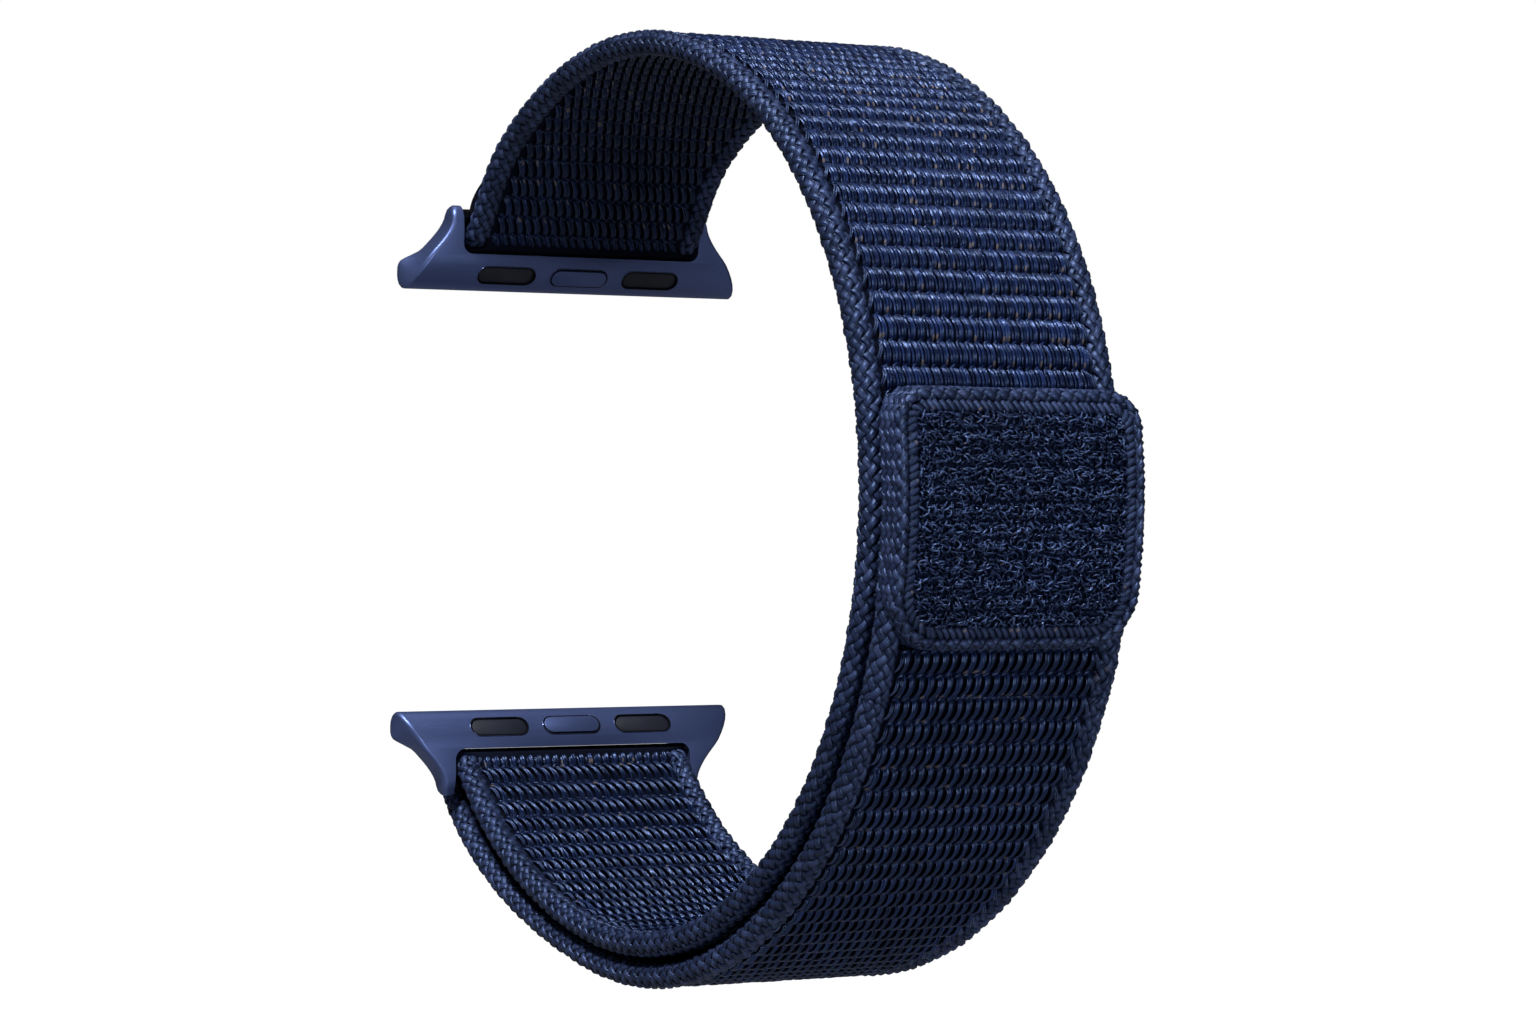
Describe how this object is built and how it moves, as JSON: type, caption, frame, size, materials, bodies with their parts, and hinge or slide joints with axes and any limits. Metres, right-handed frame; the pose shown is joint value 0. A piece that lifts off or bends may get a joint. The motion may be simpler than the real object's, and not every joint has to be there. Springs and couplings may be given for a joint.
{
  "type": "hook and loop watch strap",
  "caption": "Woven watch strap with braided edge cords, folded through pivoting metal lugs with sprung lock buttons and closed by a peeling hook and loop tab.",
  "frame": {"origin": "middle of the whole strap's box, in the middle of its width and near the middle of the wrist opening", "axes": "+Z from the lower lug to the upper lug; +Y across the band's width, from the near cord to the far cord; +X from the lugs to the fastening tab"},
  "size_m": [0.0662, 0.0286, 0.0676],
  "materials": {
    "navy_weave": "ribbed navy weave of thick yarn with a few pale flecks",
    "navy_cord": "braided navy edge cord",
    "navy_tab": "rows of curled loop pile, dark navy",
    "navy_metal": "satin navy anodised aluminium",
    "black_rubber": "matt near-black rubber",
    "steel": "plain steel",
    "hook_plastic": "dark hook tape"
  },
  "bodies": {
    "band": {"main_web": "navy_weave", "main_cord_near": "navy_cord", "main_cord_far": "navy_cord", "flex_web": "navy_weave", "flex_cord_near": "navy_cord", "flex_cord_far": "navy_cord", "fold_web": "navy_weave", "fold_cord_near": "navy_cord", "fold_cord_far": "navy_cord"},
    "upper_arm": {"upper_web": "navy_weave", "upper_cord_near": "navy_cord", "upper_cord_far": "navy_cord"},
    "upper_lug": {"upper_lug_body": "navy_metal", "upper_bar": "steel", "upper_pad_near": "black_rubber", "upper_pad_far": "black_rubber", "upper_lock_spring": "steel"},
    "upper_button": {"upper_lock_button": "navy_metal"},
    "lower_lug": {"lower_lug_body": "navy_metal", "lower_bar": "steel", "lower_pad_near": "black_rubber", "lower_pad_far": "black_rubber", "lower_lock_spring": "steel"},
    "lower_button": {"lower_lock_button": "navy_metal"},
    "tail": {"tail_web": "navy_weave", "tail_cord_near": "navy_cord", "tail_cord_far": "navy_cord", "tab_flex_web": "navy_weave", "tab_flex_cord_near": "navy_cord", "tab_flex_cord_far": "navy_cord"},
    "tab": {"tab_binding": "navy_cord", "tab_cover": "navy_tab", "tab_web_end": "navy_weave", "hook_pad": "hook_plastic"}
  },
  "joints": [
    {"name": "upper_arm_flex", "type": "hinge", "parent": "band", "child": "upper_arm", "pos_m": [0.01081, 0, 0.02941], "axis": [0, 1, 0], "range_deg": [0, 35], "stiffness_Nm_per_rad": 0.03, "deforming": ["flex_web", "flex_cord_near", "flex_cord_far"]},
    {"name": "upper_lug_pivot", "type": "hinge", "parent": "upper_arm", "child": "upper_lug", "pos_m": [-0.03048, 0, 0.02153], "axis": [0, 1, 0], "range_deg": [-40, 40]},
    {"name": "upper_button_press", "type": "slide", "parent": "upper_lug", "child": "upper_button", "axis": [-0.8349, 0, 0.5505], "range_m": [0, 0.0006], "stiffness_N_per_m": 800, "deforming": ["upper_lock_spring"]},
    {"name": "lower_lug_pivot", "type": "hinge", "parent": "band", "child": "lower_lug", "pos_m": [-0.03045, 0, -0.0218], "axis": [0, 1, 0], "range_deg": [-40, 40]},
    {"name": "lower_button_press", "type": "slide", "parent": "lower_lug", "child": "lower_button", "axis": [-0.8349, 0, -0.5505], "range_m": [0, 0.0006], "stiffness_N_per_m": 800, "deforming": ["lower_lock_spring"]},
    {"name": "tail_swing", "type": "hinge", "parent": "band", "child": "tail", "pos_m": [-0.03045, 0, -0.0218], "axis": [0, 1, 0], "range_deg": [0, 60], "deforming": ["fold_web", "fold_cord_near", "fold_cord_far"]},
    {"name": "tab_peel", "type": "hinge", "parent": "tail", "child": "tab", "pos_m": [0.02935, 0, -0.00968], "axis": [0, 1, 0], "range_deg": [0, 90], "deforming": ["tab_flex_web", "tab_flex_cord_near", "tab_flex_cord_far"]}
  ]
}
